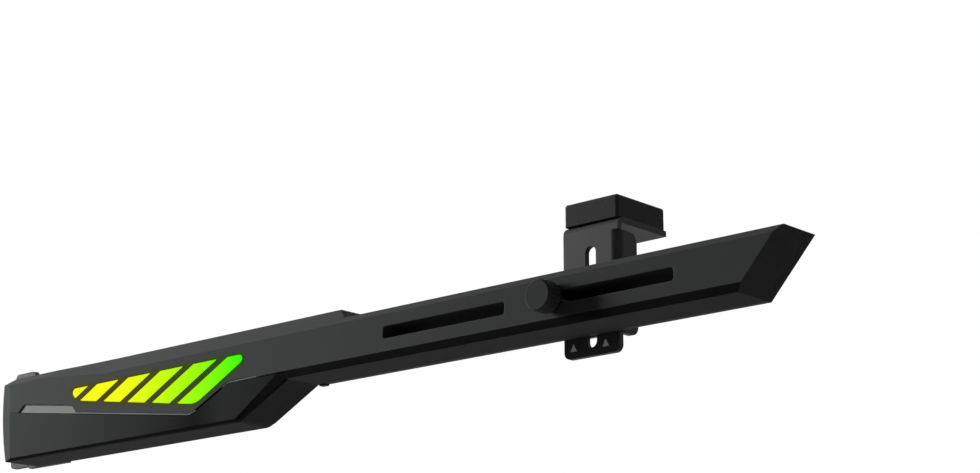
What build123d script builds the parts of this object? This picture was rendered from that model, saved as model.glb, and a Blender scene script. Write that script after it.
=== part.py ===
"""Support bracket for a graphics card: a slotted arm with a lit head, fixed by two case screws.

Frame: the origin lies midway between the two case screws, on the rear face of the back plate.
X runs along the arm to its tip, -Y is the front that is seen, Z is up. Millimetres.
"""
import math
import os

from build123d import *

# Fixing ear of the back plate
SCREW_PITCH = 20.32          # one expansion slot
SCREW_HOLE_R = 2.1           # clear of a 6-32 or M3.5 case screw
EAR_MARGIN = 5.25            # from a screw's axis to the ear's edges
EAR_CORNER = 1.5
HEAD_OFFSET = 7.1            # from the screws' axes to the head's end

# Outline of the arm, seen from the front
HEAD_TOP = 11.1              # above the ear's middle
HEAD_HEIGHT = 27.2
HEAD_LENGTH = 111.0          # along the bottom, up to the slanted underside
END_LEAN = 2.9               # the end's lower corner lies this much further in
END_BOW = 1.65               # the end swells outwards by this much
ARM_LENGTH = 292.5           # from the head's end to the tip's upper corner
ARM_HEIGHT = 13.9            # of the slim part
ARM_DROP = 3.6               # the slim part's top lies this far below the head's
TOP_STEP_START = 147.0       # where the head's top starts to come down
TOP_STEP_RUN = 4.7
SLANT_ANGLE = 26.5           # of the underside and of the light bars
TIP_LEAN = 42.2              # of the tip from upright
HEAD_CORNER = 6.0            # rounding between the bottom and the slanted underside
SLIM_CORNER = 3.0            # rounding between the slanted underside and the slim part

# Section of the arm
ARM_DEPTH = 13.0
FRONT_WALL = 2.0
WALL = 2.2
PLATE = 1.6                  # thickness of the back plate
PLATE_INSET = 1.0            # how far the back plate keeps from the head's edges
PLATE_FLUSH = 0.4            # flush with the arm from this far beyond the slim part's start
LUG_LENGTH = 2.4             # small lug of the plate where the slim part starts
LUG_DROP = 0.4
NECK_LENGTH = 17.3           # from the head's end to where the plate is as tall as the head
TOP_BEVEL = 1.8              # height of the slim part's upper bevel, at 45 degrees
END_TOP_BEVEL = 2.8          # height of the bevel at the head's end
END_TOP_SETBACK = 4.4        # depth of the bevel at the head's end
BEVEL_GROWS_FROM = 22.0      # from the head's end
BEVEL_GROWS_OVER = 28.0
CHAMFER_DROP = 1.95          # of the slim part's lower front edge
CHAMFER_DEPTH = 1.0
END_BEVEL_WIDTH = 2.9        # at the end's upper corner
END_BEVEL_DEPTH = 0.33
EDGE_DROP = 0.85             # break of the head's lower front edge
EDGE_DEPTH = 0.42
SLANT_DROP = 3.0             # the same along the slanted edge, where it meets the slim part
SLANT_DEPTH = 0.7

# Slots along the slim part
SLOT_LENGTH = 42.3
SLOT_WIDTH = 3.3             # clear of the 3 mm bolt
SLOT_CORNER = 0.8
SLOT_END = 29.6              # from the last slot to the tip's upper corner
SLOT_SPACING = 9.9           # between the two slots
SLOT_COLLAR = 1.4            # wall round a slot inside the arm

# Lower panel of the head and the pale strip above it
PANEL_DROP = 11.26           # from the head's top to the panel's upper edge at the head's end
PANEL_CORNER_AT = 91.6       # from the head's end to the lowest point of the upper edge
PANEL_FALL = 11.84           # of the upper edge down to that point
PANEL_RISE = 7.2             # of the slanted edge beyond it
PANEL_RISE_RUN = 15.9
PANEL_ROUND = 8.0            # of the upper edge at its lowest point
PANEL_FLOOR = 1.9            # depth of the panel's pocket
PANEL_BACKING = 1.4          # wall behind the pocket
PANEL_RIM = 0.8              # how far that wall reaches past the pocket
PANEL_PLAY = 0.08
PANEL_SINK = 0.25            # how far the panel lies below the front at its far end
PANEL_PEG_R = 1.0
PEG_COUNT = 3
PEG_INSET = 23.2             # from the head's end to the first peg
PEG_SPACING = 30.4
PEG_PLAY = 0.05
STRIP_START = 8.5            # from the head's end
STRIP_LENGTH = 30.0
STRIP_WIDTH = 2.6
STRIP_LINE = 0.45            # width of the thin line that carries on from it
LINE_BEYOND = 11.7           # how far that line goes beyond the panel's slanted edge
LINE_SINK = 0.1
LINE_DIP = 0.8               # its depth along the slanted edge
LINE_TURN = 2.2              # how far it stays level round the corners
STRIP_SLOPE_IN = 2.8         # slanted ends
STRIP_POCKET = 1.0
STRIP_SINK = 0.35
STRIP_PLAY = 0.05

# Light bars
BAR_COUNT = 6
BAR_PITCH = 11.45
BAR_WIDTH = 7.9              # along the lower edge of the row
BAR_START = 28.5             # lower left corner of the first, cut-off bar, from the head's end
BAR_DROP = 8.35              # from the head's top to the row's upper edge
BAR_DEPTH = 2.45             # from there to the row's lower edge where the first bar starts
BAR_FALL = 0.143             # of the row's lower edge, per millimetre
BAR_CORNER = 0.1
BAR_ROUND = 1.25             # at the row's two ends
BAR_TAIL = 9.0               # at the last bar's lower end
BAR_FIRST_CUT = 34.5         # the row's upper left corner, from the head's end
BAR_PLAY = 0.06
BAR_PROUD = 0.15
BAR_PLATE = 1.2              # plate that joins the bars
BAR_PLATE_RIM = 0.6
LEG_R = 0.8

# Light board
BOARD = 1.0
BOARD_BACK = 6.1             # from the back plate's rear face to the board's rear face
BOARD_BEFORE = 8.5           # from the board's left end to the first light's middle
BOARD_BEYOND = 11.7          # from the last light's middle to the board's right end
BOARD_DROP = 6.0             # from the head's top to the board's upper edge
BOARD_HEIGHT = 14.4
LED_SIZE = 5.0
LED_HEIGHT = 1.6
LED_LENS_R = 1.9
LED_LENS_DEPTH = 0.3
CHIP_LENGTH = 1.6
CHIP_WIDTH = 0.8
CHIP_HEIGHT = 0.8
CHIP_GAP = 1.0
POST_R = 2.1
POST_MARGIN = 2.6            # from the board's edges
POST_SHIFT = 22.9            # from the first post to the lower one
BOARD_SCREW_R = 1.0
BOARD_SCREW_LENGTH = 4.0
BOARD_HEAD_R = 1.9
BOARD_HEAD = 1.2
SCREW_PLAY = 0.06

# Light socket: three pins on a 2.5 mm pitch
SOCKET_AT = 63.0             # from the head's end
SOCKET_RISE = 3.2            # of its middle above the board's lower edge
SOCKET_LENGTH = 10.0
SOCKET_WIDTH = 5.8
SOCKET_WALL = 0.8
SOCKET_FLOOR = 1.0
SOCKET_SINK = 0.2            # below the back plate's rear face
SOCKET_PLAY = 0.4
PIN_PITCH = 2.5
PIN_COUNT = 3
PIN_SIZE = 0.64
PIN_RECESS = 0.6
PIN_TAIL = 0.6

# Countersunk screws that hold the back plate
PLATE_SCREW_R = 1.25
PLATE_SCREW_HEAD_R = 2.3
PLATE_SCREW_RIM = 0.2        # upright edge of the head
PLATE_SCREW_LENGTH = 7.0
BOSS_R = 2.4
BOSS_MARGIN = 7.6            # from a slot's end or the head's end to a boss
CROSS_LENGTH = 2.4
CROSS_WIDTH = 0.6
CROSS_DEPTH = 0.9

# Support that carries the card
SUPPORT_WIDTH = 17.6
SUPPORT_SHEET = 1.5
SUPPORT_BEND = 0.8           # inner radius
SUPPORT_BELOW = 11.8         # from the bolt's axis
SUPPORT_ABOVE = 22.6
SUPPORT_SLOT_BELOW = 9.7
SUPPORT_SLOT_ABOVE = 16.3
SUPPORT_CORNER = 1.8
SHELF_DEPTH = 20.0
FLANGE_DEPTH = 7.6
FLANGE_BELOW = 7.0           # lower end of the side flange, below the bolt's axis
FLANGE_RELIEF = 1.0          # gap between the side flange and the shelf
FLANGE_CORNER = 2.4
PAD = 6.0
PAD_CORNER = 0.8
PAD_INSET = 0.2

# Clamp
BOLT_AT = 5.3                # from the left end of the second slot to the bolt at rest
BOLT_R = 1.5
BOLT_HEAD_R = 3.9
BOLT_HEAD = 1.7
BOLT_HEAD_ROUND = 1.35
CLAMP_PLATE = 1.0            # thickness of the plate under the bolt's head
CLAMP_WIDTH = 11.0
CLAMP_BELOW = 6.8            # from the bolt's axis to its lower edge
CLAMP_ABOVE = 6.0
CLAMP_CORNER = 1.5
BOLT_IN_KNOB = 3.4
GUIDE = 0.8                  # thickness of the slide guide's flange
GUIDE_WIDTH = 12.0
GUIDE_HEIGHT = 10.0
GUIDE_KEY = 6.0              # length of the key in the arm's slot
GUIDE_CORNER = 1.2
SLIDE_PLAY = 0.1
NECK_PLAY = 0.1
KNOB_R = 4.05
KNOB_LENGTH = 4.6
KNOB_RIM = 1.1               # plain rim before the flutes
KNOB_EDGE = 0.45
KNOB_FLUTES = 24
KNOB_FLUTE_R = 0.3
KNOB_FLUTE_OUT = 0.1         # from the knob's side to a flute's axis
INSERT_R = 2.3
INSERT_LENGTH = 3.9
INSERT_PLAY = 0.02
KNOB_WASHER = 0.6
KNOB_WASHER_R = 3.4
RUNNING_FIT = 0.05

# Places that follow from the sizes
EAR_TOP = SCREW_PITCH / 2 + EAR_MARGIN
END_X = HEAD_OFFSET
HEAD_BOTTOM = HEAD_TOP - HEAD_HEIGHT
SLIM_TOP = HEAD_TOP - ARM_DROP
SLIM_BOTTOM = SLIM_TOP - ARM_HEIGHT
TIP_X = END_X + ARM_LENGTH
SLANT = math.tan(math.radians(SLANT_ANGLE))
SLANT_END_X = END_X + HEAD_LENGTH + (SLIM_BOTTOM - HEAD_BOTTOM) / SLANT
TIP_BOTTOM_X = TIP_X - ARM_HEIGHT * math.tan(math.radians(TIP_LEAN))
REAR_Y = -PLATE
FRONT_Y = REAR_Y - ARM_DEPTH
INNER_Y = FRONT_Y + FRONT_WALL
REACH = HEAD_HEIGHT + ARM_DEPTH   # long overshoot of the cutting shapes
OVER = FRONT_WALL / 2             # short overshoot
CREASE_Z = SLIM_TOP - TOP_BEVEL
SLOT_Z = (CREASE_Z + SLIM_BOTTOM + CHAMFER_DROP) / 2
LAST_SLOT_X = TIP_X - SLOT_END - SLOT_LENGTH
SLOT_STARTS = [LAST_SLOT_X - SLOT_SPACING - SLOT_LENGTH, LAST_SLOT_X]
BOARD_REAR_Y = -BOARD_BACK
BOARD_FRONT_Y = BOARD_REAR_Y - BOARD
BOARD_TOP = HEAD_TOP - BOARD_DROP
SOCKET_Z = BOARD_TOP - BOARD_HEIGHT + SOCKET_RISE
BAR_TOP = HEAD_TOP - BAR_DROP
BAR_PLATE_REAR_Y = INNER_Y + BAR_PLATE
PANEL_FLOOR_Y = FRONT_Y + PANEL_FLOOR
PANEL_TOP = HEAD_TOP - PANEL_DROP
PANEL_LOW_X = END_X + PANEL_CORNER_AT
PANEL_LOW_Z = PANEL_TOP - PANEL_FALL
PANEL_HIGH_X = PANEL_LOW_X + PANEL_RISE_RUN
PANEL_HIGH_Z = PANEL_LOW_Z + PANEL_RISE
BOLT_X = LAST_SLOT_X + BOLT_AT
SUPPORT_Y = GUIDE + SLIDE_PLAY
SUPPORT_BACK_Y = SUPPORT_Y + SUPPORT_SHEET
SUPPORT_TOP = SLOT_Z + SUPPORT_ABOVE
KNOB_REAR_Y = FRONT_Y - KNOB_WASHER - 2 * SLIDE_PLAY


def slab(face, rear, front):
    """Solid of a front-view face between two depths, the rear one having the higher Y."""
    return extrude(Plane.XZ.offset(-rear) * face, amount=rear - front)


def polygon(*points):
    return make_face(Polyline(*points, close=True))


def disc(x, z, radius):
    return Pos(x, z) * Circle(radius)


def box_face(low_x, high_x, low_z, high_z):
    """Rectangle in the front view, given by its limits."""
    return Pos((low_x + high_x) / 2, (low_z + high_z) / 2) * Rectangle(high_x - low_x, high_z - low_z)


def round_near(face, radius, *points):
    """Rounds the corners of a face that lie nearest to the given points."""
    corners = [face.vertices().sort_by_distance((x, z, 0))[0] for x, z in points]
    return fillet(corners, radius)


def arm_outline():
    top_left = (END_X, HEAD_TOP)
    bottom_left = (END_X + END_LEAN, HEAD_BOTTOM)
    bow = (END_X + END_LEAN / 2 - END_BOW, (HEAD_TOP + HEAD_BOTTOM) / 2)
    head_corner = (END_X + HEAD_LENGTH, HEAD_BOTTOM)
    slim_corner = (SLANT_END_X, SLIM_BOTTOM)
    edge = Polyline(
        top_left,
        (END_X + TOP_STEP_START, HEAD_TOP),
        (END_X + TOP_STEP_START + TOP_STEP_RUN, SLIM_TOP),
        (TIP_X, SLIM_TOP),
        (TIP_BOTTOM_X, SLIM_BOTTOM),
        slim_corner,
        head_corner,
        bottom_left,
    )
    face = make_face(edge + ThreePointArc(bottom_left, bow, top_left))
    face = round_near(face, HEAD_CORNER, head_corner)
    return round_near(face, SLIM_CORNER, slim_corner)


def bevel_section(x, setback, height, inset):
    """Section of the space in front of and above the bevel, moved in by an inset."""
    along = Vector(0, setback, height).normalized()
    outward = Vector(0, -height, setback).normalized()
    crease = Vector(x, FRONT_Y, HEAD_TOP - height) - outward * inset
    low = crease - along * REACH
    high = crease + along * REACH
    return make_face(Polyline(low, high, high + outward * REACH, low + outward * REACH, close=True))


def bevel_cutter(inset):
    """Space in front of and above the bevel, which steepens from the head's end."""
    grows_x = END_X + BEVEL_GROWS_FROM
    full_x = grows_x + BEVEL_GROWS_OVER
    full = HEAD_TOP - CREASE_Z
    start = bevel_section(grows_x, END_TOP_SETBACK, END_TOP_BEVEL, inset)
    stop = bevel_section(full_x, full, full, inset)
    cut = loft([start, stop], ruled=True)
    cut += extrude(start, amount=BEVEL_GROWS_FROM + REACH, dir=(-1, 0, 0))
    return cut + extrude(stop, amount=TIP_X + REACH - full_x, dir=(1, 0, 0))


def lower_chamfer():
    """Long cut along the slim part's lower front edge."""
    wedge = make_face(Polyline(
        (FRONT_Y, SLIM_BOTTOM + CHAMFER_DROP),
        (FRONT_Y + CHAMFER_DEPTH, SLIM_BOTTOM),
        (FRONT_Y + 2 * CHAMFER_DEPTH, SLIM_BOTTOM - CHAMFER_DROP),
        (FRONT_Y, SLIM_BOTTOM - CHAMFER_DROP),
        close=True,
    ))
    return extrude(Plane.YZ.offset(SLANT_END_X) * wedge, amount=TIP_X - SLANT_END_X + REACH)


def end_bevel():
    """Shallow bevel up the head's end, leaning with it."""
    lean = math.degrees(math.atan2(END_LEAN, HEAD_HEIGHT))
    slope = END_BEVEL_DEPTH / END_BEVEL_WIDTH
    wedge = make_face(Polyline(
        (END_BEVEL_WIDTH + OVER, -slope * OVER),
        (END_BEVEL_WIDTH - REACH, slope * REACH),
        (END_BEVEL_WIDTH - REACH, -REACH),
        (END_BEVEL_WIDTH + OVER, -REACH),
        close=True,
    ))
    post = extrude(wedge, amount=HEAD_HEIGHT + REACH, both=True)
    return Pos(END_X + END_LEAN, FRONT_Y, HEAD_BOTTOM) * Rot(0, -lean, 0) * post


def sunk_y(x):
    """Depth of the lower panel's face, which sinks in steadily from the head's end."""
    start = END_X + END_BEVEL_WIDTH
    return FRONT_Y + PANEL_SINK * (x - start) / (SLANT_END_X - start)


def break_section(x, z, turn, drop, depth):
    """Section of the space cut off by a broken edge; turn is the edge's rise in degrees."""
    outward = Vector(math.sin(math.radians(turn)), 0, -math.cos(math.radians(turn)))
    back = Vector(0, depth, 0)
    edge = Vector(x, sunk_y(x), z)
    inner = edge - outward * 2 * drop - back
    outer = edge + outward * drop
    return make_face(Polyline(inner, outer + back * 2, outer - back, close=True))


def edge_break():
    """Steep break along the head's lower front edge."""
    ends = (END_X - OVER, END_X + HEAD_LENGTH + 2 * HEAD_CORNER)
    return loft([break_section(x, HEAD_BOTTOM, 0, EDGE_DROP, EDGE_DEPTH) for x in ends], ruled=True)


def slant_break():
    """The same along the slanted edge, wider and shallower towards the slim part."""
    run = SLANT_END_X - END_X - HEAD_LENGTH
    sections = []
    for share in (-OVER / run, 1 + 2 * OVER / run):
        x = END_X + HEAD_LENGTH + share * run
        z = HEAD_BOTTOM + share * (SLIM_BOTTOM - HEAD_BOTTOM)
        drop = EDGE_DROP + share * (SLANT_DROP - EDGE_DROP)
        depth = EDGE_DEPTH + share * (SLANT_DEPTH - EDGE_DEPTH)
        sections.append(break_section(x, z, SLANT_ANGLE, drop, depth))
    return loft(sections, ruled=True)


def slot_faces(width):
    grow = width - SLOT_WIDTH
    corner = SLOT_CORNER + grow / 2
    plain = RectangleRounded(SLOT_LENGTH + grow, width, corner)
    return [Pos(start + SLOT_LENGTH / 2, SLOT_Z) * plain for start in SLOT_STARTS]


def end_crease_x(z):
    """Place of the crease where the end's bevel starts, at a given height."""
    return END_X + END_BEVEL_WIDTH + END_LEAN * (HEAD_TOP - z) / HEAD_HEIGHT


def panel_edge_z(x):
    """Height of the lower panel's long upper edge."""
    return PANEL_TOP - PANEL_FALL * (x - END_X) / PANEL_CORNER_AT


def panel_zone():
    """Front-view face of the lower panel's pocket, from the end's crease, open below and to the right."""
    lean = END_LEAN / HEAD_HEIGHT
    start = (END_BEVEL_WIDTH + lean * PANEL_DROP) / (1 - lean * PANEL_FALL / PANEL_CORNER_AT)
    low = HEAD_BOTTOM - REACH
    lowest = (PANEL_LOW_X, PANEL_LOW_Z)
    zone = polygon(
        (END_X + start, panel_edge_z(END_X + start)),
        lowest,
        (PANEL_HIGH_X, PANEL_HIGH_Z),
        (SLANT_END_X, SLIM_BOTTOM + CHAMFER_DROP),
        (SLANT_END_X, low),
        (end_crease_x(low), low),
    )
    return round_near(zone, PANEL_ROUND, lowest)


def strip_faces(play):
    """Wide start of the pale strip and its thin line along the panel; both reach over the panel."""
    zone = panel_zone()
    start = END_X + STRIP_START + play
    stop = END_X + STRIP_START + STRIP_LENGTH - play

    def over(x, height):
        return (x, panel_edge_z(x) + height)

    ends = polygon(
        over(start - STRIP_SLOPE_IN, -STRIP_WIDTH),
        over(start + STRIP_SLOPE_IN, STRIP_WIDTH),
        over(stop - STRIP_SLOPE_IN, STRIP_WIDTH),
        over(stop + STRIP_SLOPE_IN, -STRIP_WIDTH),
    )
    line_end = PANEL_HIGH_X + LINE_BEYOND - play
    wide = offset(zone, amount=STRIP_WIDTH - play, kind=Kind.INTERSECTION) & ends
    line = offset(zone, amount=STRIP_LINE - play, kind=Kind.INTERSECTION)
    return wide, line & box_face(stop - STRIP_SLOPE_IN, line_end, HEAD_BOTTOM, HEAD_TOP)


def bar_base_z(x):
    return BAR_TOP - BAR_DEPTH - BAR_FALL * (x - END_X - BAR_START)


def bar_lower_left(number):
    x = END_X + BAR_START + number * BAR_PITCH
    return x, bar_base_z(x)


def bar_corners(number):
    """Corners of a slanted bar; the first one is cut off to a wedge."""
    x0, z0 = bar_lower_left(number)
    x1 = x0 + BAR_WIDTH
    z1 = bar_base_z(x1)
    top_right = (x1 + (BAR_TOP - z1) / SLANT, BAR_TOP)
    if number == 0:
        cut_x = END_X + BAR_FIRST_CUT
        low_x = (BAR_TOP + cut_x - z1 + x1 * SLANT) / (1 + SLANT)
        return [(cut_x, BAR_TOP), top_right, (low_x, BAR_TOP + cut_x - low_x)]
    return [(x0 + (BAR_TOP - z0) / SLANT, BAR_TOP), top_right, (x1, z1), (x0, z0)]


def bar_faces():
    """The row of slanted bars, with round outer ends on the first and last."""
    faces = []
    for number in range(BAR_COUNT):
        corners = bar_corners(number)
        radii = [BAR_CORNER] * len(corners)
        if number == 0:
            radii[0] = BAR_ROUND
        if number == BAR_COUNT - 1:
            radii[1:3] = [BAR_ROUND, BAR_TAIL]
        bar = polygon(*corners)
        for corner, radius in zip(corners, radii):
            bar = round_near(bar, radius, corner)
        faces.append(bar)
    return faces


def bar_middle(number):
    """Middle of a bar, where its light source lies."""
    x0, z0 = bar_lower_left(number)
    run = (BAR_TOP - z0) / SLANT
    middle_x = x0 + (BAR_WIDTH + run) / 2
    if number == 0:
        middle_x = END_X + BAR_FIRST_CUT + LED_SIZE / 2
    return middle_x, (BAR_TOP + z0) / 2


def bar_plate_face():
    """Plate behind the row of bars."""
    left = END_X + BAR_FIRST_CUT - BAR_PLATE_RIM
    last_x = bar_lower_left(BAR_COUNT - 1)[0] + BAR_WIDTH + BAR_PLATE_RIM
    low_left = bar_base_z(left) - BAR_PLATE_RIM
    low_right = bar_base_z(last_x) - BAR_PLATE_RIM
    top = BAR_TOP + BAR_PLATE_RIM
    return polygon(
        (left, low_left),
        (left, top),
        (last_x + (top - low_right) / SLANT, top),
        (last_x, low_right),
    )


def board_ends():
    """Left and right end of the light board, which carries all the lights."""
    return bar_middle(0)[0] - BOARD_BEFORE, bar_middle(BAR_COUNT - 1)[0] + BOARD_BEYOND


def board_posts():
    """Places of the three posts that carry the light board."""
    left, right = board_ends()
    low = BOARD_TOP - BOARD_HEIGHT + POST_MARGIN
    return [
        (left + POST_MARGIN, BOARD_TOP - POST_MARGIN),
        (left + POST_MARGIN + POST_SHIFT, low),
        (right - POST_MARGIN, low),
    ]


def plate_bosses():
    """Places of the bosses that take the back plate's screws."""
    end = END_X + END_LEAN + BOSS_MARGIN
    return [
        (end, HEAD_TOP - BOSS_MARGIN),
        (end, HEAD_BOTTOM + BOSS_MARGIN - BOSS_R),
        (END_X + HEAD_LENGTH - BOSS_MARGIN, HEAD_BOTTOM + WALL + BOSS_R / 2),
        ((SLANT_END_X + SLOT_STARTS[0]) / 2, SLOT_Z),
        (LAST_SLOT_X - SLOT_SPACING / 2, SLOT_Z),
        (LAST_SLOT_X + SLOT_LENGTH + BOSS_MARGIN, SLOT_Z),
    ]


def panel_pegs():
    """Places of the pegs on the back of the lower panel."""
    low = HEAD_BOTTOM + WALL + 2 * PANEL_PEG_R
    return [(END_X + PEG_INSET + number * PEG_SPACING, low) for number in range(PEG_COUNT)]


def panel_front():
    """Space in front of the lower panel's face."""
    wedge = make_face(Polyline(
        (END_X + END_BEVEL_WIDTH, FRONT_Y),
        (SLANT_END_X, sunk_y(SLANT_END_X)),
        (SLANT_END_X, FRONT_Y - OVER),
        (END_X + END_BEVEL_WIDTH, FRONT_Y - OVER),
        close=True,
    ))
    return extrude(wedge, amount=REACH, both=True)


def arm_housing(outline):
    """Moulded front of the arm: a shell open at the back, with windows, slots, posts and bosses."""
    inner = offset(outline, amount=-WALL, kind=Kind.INTERSECTION)
    body = slab(outline, REAR_Y, FRONT_Y)
    body -= bevel_cutter(0)
    body -= lower_chamfer()
    body -= end_bevel()
    body -= edge_break()
    pocket = panel_zone()
    hollow = slab(inner, REAR_Y, INNER_Y) - bevel_cutter(WALL)
    hollow -= slab(offset(pocket, amount=PANEL_RIM), PANEL_FLOOR_Y + PANEL_BACKING, INNER_Y)
    body -= hollow
    for face in slot_faces(SLOT_WIDTH + 2 * SLOT_COLLAR):
        body += slab(face, REAR_Y, INNER_Y)
    for x, z in plate_bosses():
        body += slab(disc(x, z, BOSS_R), REAR_Y, PANEL_FLOOR_Y)
        body -= slab(disc(x, z, PLATE_SCREW_R + SCREW_PLAY), 0, -PLATE_SCREW_LENGTH - SCREW_PLAY)
    for x, z in board_posts():
        body += slab(disc(x, z, POST_R), BOARD_FRONT_Y, INNER_Y)
        bore = disc(x, z, BOARD_SCREW_R + SCREW_PLAY)
        body -= slab(bore, 0, BOARD_REAR_Y - BOARD_SCREW_LENGTH - SCREW_PLAY)
    for face in slot_faces(SLOT_WIDTH):
        body -= slab(face, 0, FRONT_Y - OVER)
    for face in bar_faces():
        body -= slab(face, INNER_Y + OVER, FRONT_Y - OVER)
    body -= slab(pocket, PANEL_FLOOR_Y, FRONT_Y - OVER)
    for face in strip_faces(0):
        body -= slab(face, FRONT_Y + STRIP_POCKET, FRONT_Y - OVER)
    for x, z in panel_pegs():
        body -= slab(disc(x, z, PANEL_PEG_R + PEG_PLAY), 0, PANEL_FLOOR_Y)
    return body


def lower_panel(outline):
    """Panel on the lower half of the head, sunk a little towards the slim part."""
    face = outline & offset(panel_zone(), amount=-PANEL_PLAY, kind=Kind.INTERSECTION)
    panel = slab(face, PANEL_FLOOR_Y, FRONT_Y)
    panel -= panel_front()
    panel -= edge_break()
    panel -= slant_break()
    for x, z in panel_pegs():
        panel += slab(disc(x, z, PANEL_PEG_R), PANEL_FLOOR_Y + PANEL_BACKING, PANEL_FLOOR_Y)
    return panel


def accent_strip():
    """Pale strip: sunk where it is wide, nearly level along its thin line, deep along the slanted edge."""
    wide, line = strip_faces(STRIP_PLAY)
    floor_y = FRONT_Y + STRIP_POCKET
    strip = slab(wide, floor_y, FRONT_Y + STRIP_SINK) + slab(line, floor_y, FRONT_Y + LINE_SINK)
    dip = box_face(PANEL_LOW_X + LINE_TURN, PANEL_HIGH_X - LINE_TURN, HEAD_BOTTOM, HEAD_TOP)
    strip -= slab(dip, FRONT_Y + LINE_DIP, FRONT_Y)
    beside = offset(panel_zone(), amount=PANEL_PLAY, kind=Kind.INTERSECTION)
    return strip - slab(beside, floor_y, FRONT_Y)


def back_plate(outline):
    """Steel plate that closes the arm from behind, with the fixing ear beyond the head's end."""
    flush_x = SLANT_END_X + PLATE_FLUSH
    face = offset(outline, amount=-PLATE_INSET, kind=Kind.INTERSECTION)
    face += outline & box_face(flush_x, TIP_X + REACH, -REACH, REACH)
    face += box_face(flush_x, flush_x + LUG_LENGTH, SLIM_BOTTOM - LUG_DROP, SLOT_Z)
    face += box_face(EAR_MARGIN - EAR_CORNER / 2, END_X + NECK_LENGTH, HEAD_BOTTOM, HEAD_TOP)
    face += RectangleRounded(2 * EAR_MARGIN, 2 * EAR_TOP, EAR_CORNER)
    for side in (-1, 1):
        face -= disc(0, side * SCREW_PITCH / 2, SCREW_HOLE_R)
    for slot in slot_faces(SLOT_WIDTH):
        face -= slot
    face -= Pos(END_X + SOCKET_AT, SOCKET_Z) * Rectangle(
        SOCKET_LENGTH + 2 * SOCKET_PLAY, SOCKET_WIDTH + 2 * SOCKET_PLAY)
    plate = slab(face, 0, REAR_Y)
    for x, z in plate_bosses():
        plate -= plate_screw_body(x, z, SCREW_PLAY)
    return plate


def plate_screw_body(x, z, play):
    """Countersunk screw from behind, grown by a play to make its own hole."""
    neck_y = -PLATE_SCREW_RIM - PLATE_SCREW_HEAD_R + PLATE_SCREW_R
    profile = polygon(
        (0, 0),
        (PLATE_SCREW_HEAD_R + play, 0),
        (PLATE_SCREW_HEAD_R + play, -PLATE_SCREW_RIM),
        (PLATE_SCREW_R + play, neck_y),
        (PLATE_SCREW_R + play, -PLATE_SCREW_LENGTH - play),
        (0, -PLATE_SCREW_LENGTH - play),
    )
    return Pos(x, 0, z) * revolve(profile, axis=Axis.Y)


def plate_screws():
    screws = []
    for x, z in plate_bosses():
        screw = plate_screw_body(x, z, 0)
        for turn in (0, 90):
            screw -= Pos(x, 0, z) * Rot(0, turn, 0) * Box(CROSS_LENGTH, 2 * CROSS_DEPTH, CROSS_WIDTH)
        screws.append(screw)
    return screws


def light_diffuser():
    """Milky plate with raised bars that fill the windows, and legs down to the light board."""
    body = slab(bar_plate_face(), BAR_PLATE_REAR_Y, INNER_Y)
    for face in bar_faces():
        body += slab(offset(face, amount=-BAR_PLAY), INNER_Y, FRONT_Y - BAR_PROUD)
    for number in range(1, BAR_COUNT - 1):
        x, z = bar_lower_left(number)
        leg = disc(x + LEG_R, z, LEG_R)
        body += slab(leg, BOARD_FRONT_Y, BAR_PLATE_REAR_Y)
    return body


def led_board():
    left, right = board_ends()
    face = box_face(left, right, BOARD_TOP - BOARD_HEIGHT, BOARD_TOP)
    for x, z in board_posts():
        face -= disc(x, z, BOARD_SCREW_R + SCREW_PLAY)
    for x, z in pin_places():
        face -= Pos(x, z) * Rectangle(PIN_SIZE + 2 * SCREW_PLAY, PIN_SIZE + 2 * SCREW_PLAY)
    return slab(face, BOARD_REAR_Y, BOARD_FRONT_Y)


def leds():
    parts = []
    for number in range(BAR_COUNT):
        x, z = bar_middle(number)
        led = slab(Pos(x, z) * Rectangle(LED_SIZE, LED_SIZE), BOARD_FRONT_Y, BOARD_FRONT_Y - LED_HEIGHT)
        led -= slab(disc(x, z, LED_LENS_R), BOARD_FRONT_Y - LED_HEIGHT + LED_LENS_DEPTH, INNER_Y)
        parts.append(led)
    return parts


def board_capacitors():
    parts = []
    for number in range(BAR_COUNT):
        x, z = bar_middle(number)
        place = Pos(x + LED_SIZE / 2 + CHIP_GAP, z) * Rectangle(CHIP_WIDTH, CHIP_LENGTH)
        parts.append(slab(place, BOARD_FRONT_Y, BOARD_FRONT_Y - CHIP_HEIGHT))
    return parts


def board_screws():
    parts = []
    for x, z in board_posts():
        shank = slab(disc(x, z, BOARD_SCREW_R), BOARD_REAR_Y, BOARD_REAR_Y - BOARD_SCREW_LENGTH)
        head = slab(disc(x, z, BOARD_HEAD_R), BOARD_REAR_Y + BOARD_HEAD, BOARD_REAR_Y)
        parts.append(shank + head)
    return parts


def pin_places():
    middle = (PIN_COUNT - 1) / 2
    return [(END_X + SOCKET_AT + (number - middle) * PIN_PITCH, SOCKET_Z) for number in range(PIN_COUNT)]


def light_socket():
    place = Pos(END_X + SOCKET_AT, SOCKET_Z)
    body = slab(place * Rectangle(SOCKET_LENGTH, SOCKET_WIDTH), -SOCKET_SINK, BOARD_REAR_Y)
    room = place * Rectangle(SOCKET_LENGTH - 2 * SOCKET_WALL, SOCKET_WIDTH - 2 * SOCKET_WALL)
    body -= slab(room, 0, BOARD_REAR_Y + SOCKET_FLOOR)
    for x, z in pin_places():
        body -= slab(Pos(x, z) * Rectangle(PIN_SIZE, PIN_SIZE), 0, BOARD_FRONT_Y)
    return body


def socket_pins():
    pin = Rectangle(PIN_SIZE, PIN_SIZE)
    rear = -SOCKET_SINK - PIN_RECESS
    return [slab(Pos(x, z) * pin, rear, BOARD_FRONT_Y - PIN_TAIL) for x, z in pin_places()]


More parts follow.
